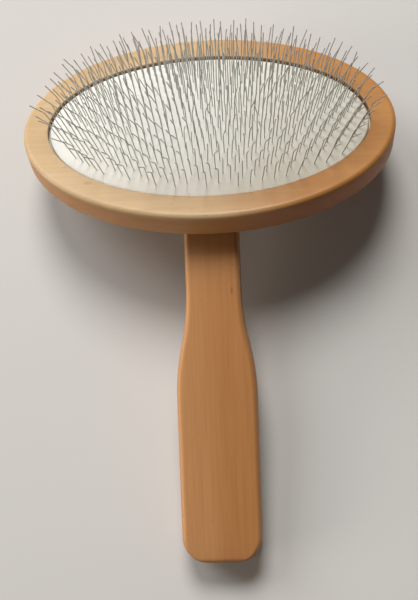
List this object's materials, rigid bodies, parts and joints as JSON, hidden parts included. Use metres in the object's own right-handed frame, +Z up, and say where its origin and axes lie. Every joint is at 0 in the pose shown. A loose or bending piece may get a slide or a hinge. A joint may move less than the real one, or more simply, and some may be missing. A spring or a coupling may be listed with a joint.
{
  "type": "pet grooming slicker brush",
  "caption": "Wide oval wooden slicker brush for pets: bent wire pins on a domed rubber cushion, and a flared wooden handle set at an angle behind the head.",
  "frame": {"origin": "middle of the brush's box, on the floor it rests on", "axes": "+X across the handle, along the wide head; +Y along the brush from the handle's butt towards the head; +Z up, pins on top"},
  "size_m": [0.14, 0.2037, 0.0598],
  "materials": {
    "head_wood": "fine sanded beech, waxed, satin",
    "cushion_rubber": "off-white natural rubber, matte",
    "backing_fabric": "plain woven cotton",
    "pin_steel": "grey steel wire, satin",
    "handle_wood": "fine sanded beech, waxed, satin",
    "screw_steel": "zinc plated"
  },
  "bodies": {
    "root": {"head": "head_wood", "cushion": "cushion_rubber", "pin_backing": "backing_fabric", "pins": "pin_steel", "handle": "handle_wood", "handle_screws": "screw_steel"}
  },
  "joints": []
}
